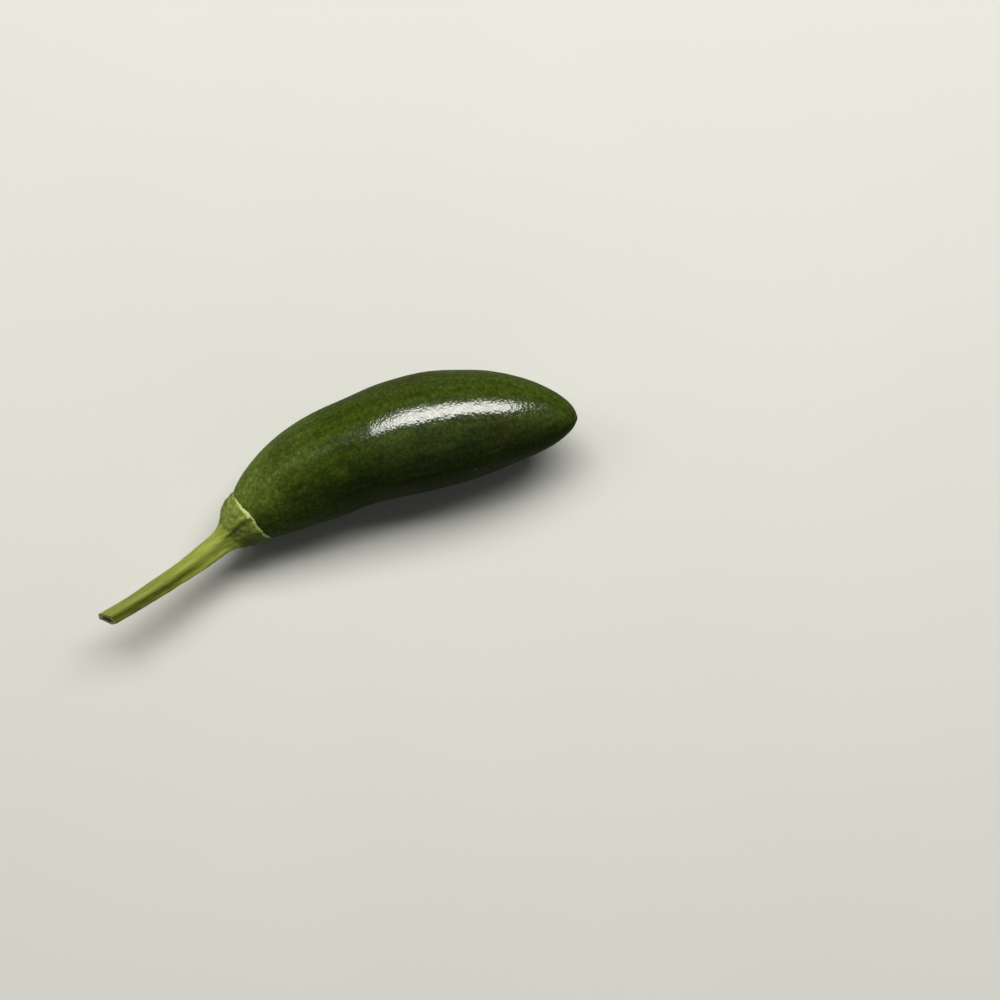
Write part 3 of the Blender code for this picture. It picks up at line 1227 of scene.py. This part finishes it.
    def panels(self, angle: np.ndarray) -> np.ndarray:
        """Puffs out each part of the calyx between two creases.

        Args:
            angle: angles round the calyx.

        Returns:
            A height at each.
        """
        total = np.zeros_like(angle)
        for number, height in enumerate(self.panel_heights):
            away = self.beside(angle, self.fold_turn, number + 0.5) / self.pitch
            across = np.cos(math.pi * np.clip(away, -0.5, 0.5))
            total = total + height * np.maximum(across, 0.0) ** self.panel_power
        return total

    def folds(self, angle: np.ndarray) -> np.ndarray:
        """The creases that run from the neck to the calyx rim, one beside each rib."""
        away = (self.beside(angle, self.fold_turn, number) for number in range(self.ribs))
        return sum(deep * bump(off, 0, self.fold_width) for deep, off in zip(self.fold_strengths, away))

    def opened(self, s: np.ndarray) -> np.ndarray:
        """0 in the stalk, rising to 1 where the calyx is fully open."""
        return ease((s + self.calyx_length) / (self.calyx_length + self.lip)) ** self.flare

    def radius(self, s: np.ndarray, angle: np.ndarray) -> np.ndarray:
        """Works out the outer radius, as the plain solid has it.

        Args:
            s: distances along the chilli.
            angle: angles round it.

        Returns:
            The radius at each point.
        """
        along = ease((s - self.start) / self.stalk_length)
        shaft = self.end_radius + (self.stalk_radius - self.end_radius) * along
        shaft = shaft + (self.neck_radius - self.stalk_radius) * along**self.neck_power
        opened = self.opened(s)
        halfway = 4 * opened * (1 - opened)
        bulge = self.bulge * halfway * on_side(angle, self.bulge_side)
        wider = self.rim_radius - self.neck_radius + self.offset * np.cos(angle - self.offset_side)
        ribs = self.stalk_rib * shaft * (1 - opened) + self.rib_height * halfway
        return shaft + wider * opened + bulge + ribs * (self.rib(angle) - self.rib_mean)

    def fine_radius(self, s: np.ndarray, angle: np.ndarray) -> np.ndarray:
        """Adds ridges, creases, fibres and knobs to the outer radius.

        Args:
            s: distances along the chilli.
            angle: angles round it.

        Returns:
            The radius at each point.
        """
        radius = self.radius(s, angle)
        opened = self.opened(s)
        halfway = 4 * opened * (1 - opened)
        place = straightened(s, radius, angle)
        across = np.sin(self.ribs * turned(angle, self.rib_turn) / 2)
        ridges = self.ridge_height * bump(across, 0, self.ridge_width)
        panels = self.panels(angle) * halfway
        hollows = self.hollows(angle, self.hollow_depths)
        tucked = on_side(angle, self.tuck_side) * bump(s, self.tuck_place, self.tuck_length)
        radius = radius - self.tuck * tucked
        creases = self.fold_depth * self.folds(angle) * ease(opened / self.fold_open)
        at_rim = ease((opened - self.fold_shallow_from) / (1 - self.fold_shallow_from))
        creases = creases * (1 - self.fold_shallow * at_rim)
        rough = self.knob_height * self.knobs.at(place) * (self.knob_least + ease(opened / self.knob_open))
        rough = rough * (1 - self.knob_fade * ease(opened - self.knob_fade_from))
        fibres = self.fibre_height * self.fibres.at(place)
        sway = self.sway_height * self.sway.at(place)
        return radius + (ridges - hollows) * (1 - opened) + panels - creases + rough + fibres + sway

    def lip_distance(self, angle: np.ndarray) -> np.ndarray:
        """Ends the calyx in a small tooth at the foot of each rib, a tilt, and a ragged edge.

        Args:
            angle: angles round the calyx.

        Returns:
            The distance of its rim at each.
        """
        tooth = self.tooth * (self.rib(angle - self.tooth_turn) ** 2 - 0.5)
        even = self.lip + tooth + self.rim_tilt * np.cos(angle - self.rim_tilt_side)
        return even + self.rim_ragged * self.ragged.at(straightened(0.0, self.rim_radius, angle))

    def cut_distance(self, radius: np.ndarray, angle: np.ndarray) -> np.ndarray:
        """Ends the stalk in a slanting cut.

        Args:
            radius: distances out from the centreline.
            angle: angles round it.

        Returns:
            The distance of the cut at each point.
        """
        side = -np.cos(angle) * math.tan(self.cut_side_slant)
        top = np.sin(angle) * math.tan(self.cut_top_slant)
        return self.start + radius * (side + top)

    def cut_rows(self, angle: np.ndarray) -> tuple[np.ndarray, np.ndarray, np.ndarray]:
        """Rows on the cut, from near its middle to its edge.

        Args:
            angle: the angle of each side.

        Returns:
            Distances, radii and shares of the radius.
        """
        edge = self.fine_radius(np.full_like(angle, self.start), angle)
        share = np.linspace(0, 1, self.cut_rings + 1)[1:-1, None]
        radius = share * edge[None, :]
        sunk = self.pith_depth * (1 - ease(share / self.pith_radius))
        fray = self.fray * self.ragged.at(straightened(0.0, radius * 2, angle))
        return self.cut_distance(radius, angle) + sunk + fray, radius, share + 0 * radius

    def outer_rows(self, angle: np.ndarray) -> tuple[np.ndarray, np.ndarray]:
        """Rows of the outside, from the cut's edge to the calyx rim.

        Args:
            angle: the angle of each side.

        Returns:
            Distances and radii.
        """
        edge = self.fine_radius(np.full_like(angle, self.start), angle)
        start = self.cut_distance(edge, angle)
        share = np.linspace(0, 1, self.shaft_rings)[:, None]
        shaft = start + (-self.calyx_length - start) * share
        lip = self.lip_distance(angle)
        opening = np.linspace(0, 1, self.bell_rings + 1)[1:, None]
        bell = -self.calyx_length + (lip + self.calyx_length) * opening
        s = np.concatenate((shaft, bell))
        around = np.broadcast_to(angle, s.shape)
        radius = self.fine_radius(s, around)
        last = np.clip(1 - (lip - s) / self.rim_round_length, 0, 1)
        return s, np.maximum(radius - self.rim_round * last**2, self.seat(s, around) + self.thinnest)

    def inner_rows(self, angle: np.ndarray, outer: np.ndarray) -> tuple[np.ndarray, np.ndarray]:
        """Rows of the lip and of the hollow that holds the pod's shoulder.

        Args:
            angle: the angle of each side.
            outer: the outer radius at the rim.

        Returns:
            Distances and radii.
        """
        lip = self.lip_distance(angle)
        inner = self.seat(lip, angle)
        half = (outer - inner) / 2
        swept = np.linspace(0, math.pi, self.lip_rings + 2)[1:-1, None]
        lip_s = lip + np.sin(swept) * half
        lip_r = (outer + inner) / 2 + np.cos(swept) * half
        lowest = -self.seat_reach * self.pod.hidden
        share = np.cos(np.linspace(0, math.pi / 2, self.seat_rings + 1)[:, None])
        seat_s = lowest + (lip - lowest) * share**2
        seat_r = self.seat(seat_s, np.broadcast_to(angle, seat_s.shape))
        return np.concatenate((lip_s, seat_s)), np.concatenate((lip_r, seat_r))

    def seat(self, s: np.ndarray, angle: np.ndarray) -> np.ndarray:
        """Radius of the hollow, which closes on the pod's skin."""
        return self.pod.plain_radius(s, angle) - self.seat_overlap

    def rib_light_and_shade(self, along: np.ndarray, angle: np.ndarray) -> np.ndarray:
        """Lightens the ribs, some hollows and the neck: partly the stalk's own paler ribs and neck, partly
        painted light where light falls and painted shade in the other hollows and on the lower side.

        Args:
            along: distances from the cut, as shares of the stalk's length.
            angle: angles round the stalk.

        Returns:
            How pale each point is, from 0 to 1.
        """
        # Painted shade on the stalk's lower side, fading out towards the neck.
        painted_shade = self.painted_shade * bump(turned(angle, self.shaded_side), 0, self.shaded_width)
        shaded_ribs = 1 - painted_shade * (1 - ease((along - self.shaded_until) / self.shaded_fade))
        paler = self.paler * ease((along - self.paler_from) / self.paler_fade)
        pale = self.rib(angle) * shaded_ribs + self.hollows(angle, self.hollow_painted_light) + paler
        return np.clip(pale, 0, 1)

    def rim_values(self, from_lip: np.ndarray, angle: np.ndarray) -> dict[Value, np.ndarray]:
        """Dries part of the calyx rim.

        Args:
            from_lip: how far each point is from the rim.
            angle: angles round it.

        Returns:
            The values of the pale line on the rim and of its dry part.
        """
        past_start = turned(angle, math.pi / 2) + math.pi / 2 - self.dry_from
        along_rim = past_start / (self.dry_to - self.dry_from)
        grown = np.clip(along_rim, 0, 1) ** self.dry_power
        dry_length = self.dry_length * np.where(along_rim < 1, grown, -1.0)
        strength = ease(along_rim * 2) * (1 - self.line_faded * (1 - ease(1 - along_rim)))
        return {
            Value.RIM: strength * bump(from_lip, 0, self.rim_line),
            Value.DRY: ease((dry_length - from_lip) / self.dry_softness),
        }

    def build(self, line: Centreline) -> Skin:
        """Lofts the skin from the middle of the cut to the middle of the hollow.

        Args:
            line: the centreline.

        Returns:
            The skin, with its values.
        """
        angle = np.linspace(0, TURN, self.sides, endpoint=False)
        cut_s, cut_r, core = self.cut_rows(angle)
        outer_s, outer_r = self.outer_rows(angle)
        inner_s, inner_r = self.inner_rows(angle, outer_r[-1])
        s = np.concatenate((cut_s, outer_s, inner_s))
        radius = np.concatenate((cut_r, outer_r, inner_r))
        around = np.broadcast_to(angle, s.shape)
        opened = self.opened(s)
        from_lip = np.abs(self.lip_distance(angle) - s)
        along = (s - self.start) / self.stalk_length
        folds = self.folds(around) * ease(opened / self.fold_shown) * ease(from_lip / self.fold_start)
        values = {
            Value.STRAIGHT: straightened(s, radius, around),
            Value.ALONG: along,
            Value.RIB_LIGHT_AND_SHADE: self.rib_light_and_shade(along, around),
            Value.FACING_LIGHT: (1 + np.cos(around - self.sunny_side)) / 2,
            Value.FOLD: np.clip(folds, 0, 1),
            Value.BELL: ease(opened / self.bell_open),
            Value.CORE: np.concatenate((core, np.ones_like(s[len(cut_s) :]))),
            **self.rim_values(from_lip, around),
        }
        ends = line.at(np.array([self.start + self.pith_depth, inner_s[-1].mean()]), 0.0, 0.0)
        return Skin(line.at(s, radius, around), (ends[0], ends[1]), values)

    def dress(self, line: Centreline) -> bpy.types.Object:
        """Makes the piece, with the cut end in a finish of its own.

        Args:
            line: the centreline.

        Returns:
            The piece.
        """
        made = self.build(line).make("stalk_and_calyx_skin")
        made.data.materials.append(self.finish.material())
        made.data.materials.append(self.cut_finish.material())
        cut_faces = self.sides * (self.cut_rings - 1)
        which = np.zeros(len(made.data.polygons), np.int32)
        which[:cut_faces] = 1
        made.data.polygons.foreach_set("material_index", which)
        return made


@dataclass
class Chilli:
    """The whole chilli: its pod, and its stalk with the calyx, round one centreline."""

    pod: Pod = field(default_factory=Pod)
    stations: tuple[tuple[float, float, float], ...] = (
        # share of the pod's length, or of the stalk's where negative, then heading and rise
        (-1.0, 8.0, -15.0),
        (0.0, 19.0, 5.0),
        (0.36, -4.5, 3.6),
        (1.0, -27.0, 1.0),
    )
    neck_heading: float = 14.5
    neck_rise: float = -3.0

    def __post_init__(self) -> None:
        """Sets the stalk on the pod and walks the centreline."""
        self.stalk = StalkAndCalyx(self.pod)
        places = [
            Station(share * (self.pod.length if share > 0 else -self.stalk.start), heading, rise)
            for share, heading, rise in self.stations
        ]
        places.insert(1, Station(-self.stalk.calyx_length, self.neck_heading, self.neck_rise))
        self.line = Centreline(tuple(places))

    def settle(self, pod_box: Box, whole_box: Box) -> None:
        """Moves the centreline to where the solids are.

        Args:
            pod_box: lowest and highest corners of the pod's solid.
            whole_box: lowest and highest corners of both solids.
        """
        points = self.pod.build(self.line, fine=False).rows.reshape(-1, 3)
        low, high = points.min(axis=0), points.max(axis=0)
        middle = (whole_box[0].y + whole_box[1].y) / 2
        forward = pod_box[1].x - high[0]
        down = pod_box[0].z - self.pod.rest_depth - low[2]
        self.line.point += np.array((forward, middle - (low[1] + high[1]) / 2, down))

    def dress(self) -> list[bpy.types.Object]:
        """Makes both pieces, in place of the plain solids.

        Returns:
            The pieces.
        """
        pod = self.pod.dress(self.line)
        stalk = self.stalk.dress(self.line)
        for piece, node, slot in ((pod, "pod", Slot.POD), (stalk, "stalk_and_calyx", Slot.STALK)):
            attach(piece, BODY)
            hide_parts(node)
        return [pod, stalk]


@dataclass(frozen=True)
class SoftLight:
    """A rectangular soft light that looks at the chilli.

    Attributes:
        towards: the way to it from the origin.
        long_heading: which way its long side points, in degrees.
        mirrored: whether shiny surfaces show it.
    """

    name: str
    towards: tuple[float, float, float]
    distance: float
    width: float
    length: float
    power: float
    colour: Colour
    long_heading: float
    mirrored: bool = True

    def place(self) -> None:
        """Adds the light to the scene."""
        lamp = bpy.data.lights.new(self.name, "AREA")
        lamp.shape = "RECTANGLE"
        lamp.size = self.length
        lamp.size_y = self.width
        lamp.energy = self.power
        lamp.color = self.colour
        made = link(self.name, lamp)
        back = Vector(self.towards).normalized()
        heading = math.radians(self.long_heading)
        along = Vector((math.cos(heading), math.sin(heading), 0.0))
        along = (along - back * along.dot(back)).normalized()
        turn = Matrix((along, back.cross(along), back)).transposed()
        made.matrix_world = Matrix.Translation(back * self.distance) @ turn.to_4x4()
        made.visible_camera = False
        made.visible_glossy = self.mirrored


@dataclass(frozen=True)
class Studio:
    """The plain pale floor and backdrop, the soft lights and the camera, which looks down on the chilli.

    One light is low, and only brightens the side that the window leaves dark.

    Attributes:
        azimuth, elevation: where the camera stands, in degrees.
        lens, sensor: in millimetres.
        backdrop_strength: how bright the surroundings look to the camera itself.
    """

    azimuth: float = -24.3
    elevation: float = 82.0
    target: tuple[float, float, float] = (27.5 * MM, -15.2 * MM, 0.0)
    camera_distance: float = 420 * MM
    lens: float = 83.8
    sensor: float = 36.0
    clip_start: float = 10 * MM
    floor_radius: float = 0.6
    floor_sides: int = 96
    surroundings: Colour = (0.80, 0.82, 0.84)
    surroundings_strength: float = 0.08
    backdrop_strength: float = 0.9
    floor_finish: FloorFinish = FloorFinish()
    lights: tuple[SoftLight, ...] = (
        SoftLight(
            name="window",
            towards=(0.308, 0.400, 0.863),
            distance=0.8,
            width=0.38,
            length=0.93,
            power=11.4,
            colour=(1.0, 0.985, 0.95),
            long_heading=-20.0,
        ),
        SoftLight(
            name="far_window",
            towards=(-0.484, 0.463, 0.743),
            distance=0.9,
            width=0.3,
            length=0.3,
            power=1.3,
            colour=(1.0, 1.0, 0.98),
            long_heading=0.0,
        ),
        SoftLight(
            name="low_fill",
            towards=(-0.15, -0.96, 0.22),
            distance=1.2,
            width=0.5,
            length=1.2,
            power=2.0,
            colour=(0.98, 0.99, 1.0),
            long_heading=-8.0,
            mirrored=False,
        ),
    )

    def lay_floor(self) -> bpy.types.Object:
        """Makes the floor, a broad disc.

        Returns:
            The floor.
        """
        angles = np.linspace(0, TURN, self.floor_sides, endpoint=False)
        points = [(self.floor_radius * math.cos(a), self.floor_radius * math.sin(a), 0.0) for a in angles]
        mesh = bpy.data.meshes.new("floor")
        mesh.from_pydata(points, [], [tuple(range(self.floor_sides))])
        floor = link("floor", mesh)
        mesh.materials.append(self.floor_finish.material())
        floor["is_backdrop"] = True
        return floor

    def light(self) -> None:
        """Adds the lights and the even light of the surroundings."""
        for soft in self.lights:
            soft.place()
        world = bpy.data.worlds.new("surroundings")
        world.use_nodes = True
        background = world.node_tree.nodes["Background"]
        wiring = Wiring(world.node_tree)
        seen = wiring.add("ShaderNodeLightPath", {}).outputs["Is Camera Ray"]
        paler = self.backdrop_strength - self.surroundings_strength
        wiring.feed(background.inputs["Color"], self.surroundings)
        wiring.feed(background.inputs["Strength"], wiring.part(seen, paler, self.surroundings_strength))
        bpy.context.scene.world = world
        bpy.context.scene.view_settings.view_transform = "Standard"

    def aim_camera(self) -> bpy.types.Object:
        """Adds the camera and makes it the scene's.

        Returns:
            The camera.
        """
        turn, tilt = math.radians(self.azimuth), math.radians(self.elevation)
        right = Vector((math.cos(turn), math.sin(turn), 0.0))
        back = Vector((math.sin(turn) * math.cos(tilt), -math.cos(turn) * math.cos(tilt), math.sin(tilt)))
        data = bpy.data.cameras.new("camera")
        data.lens = self.lens
        data.sensor_width = self.sensor
        data.clip_start = self.clip_start
        camera = link("camera", data)
        axes = Matrix((right, back.cross(right), back)).transposed()
        stand = Vector(self.target) + back * self.camera_distance
        camera.matrix_world = Matrix.Translation(stand) @ axes.to_4x4()
        bpy.context.scene.camera = camera
        return camera


def main() -> None:
    """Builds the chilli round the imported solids, sets up the studio and reports each piece."""
    logging.basicConfig(level=logging.INFO, format="%(name)s: %(message)s")
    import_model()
    solid_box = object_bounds()
    chilli = Chilli()
    chilli.settle(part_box("pod"), solid_box)
    for piece in chilli.dress():
        LOG.info("%s: %d faces", piece.name, len(piece.data.polygons))
    studio = Studio()
    for stand in (studio.lay_floor(), studio.aim_camera()):
        LOG.info("%s placed", stand.name)
    studio.light()


if __name__ == "__main__":
    main()
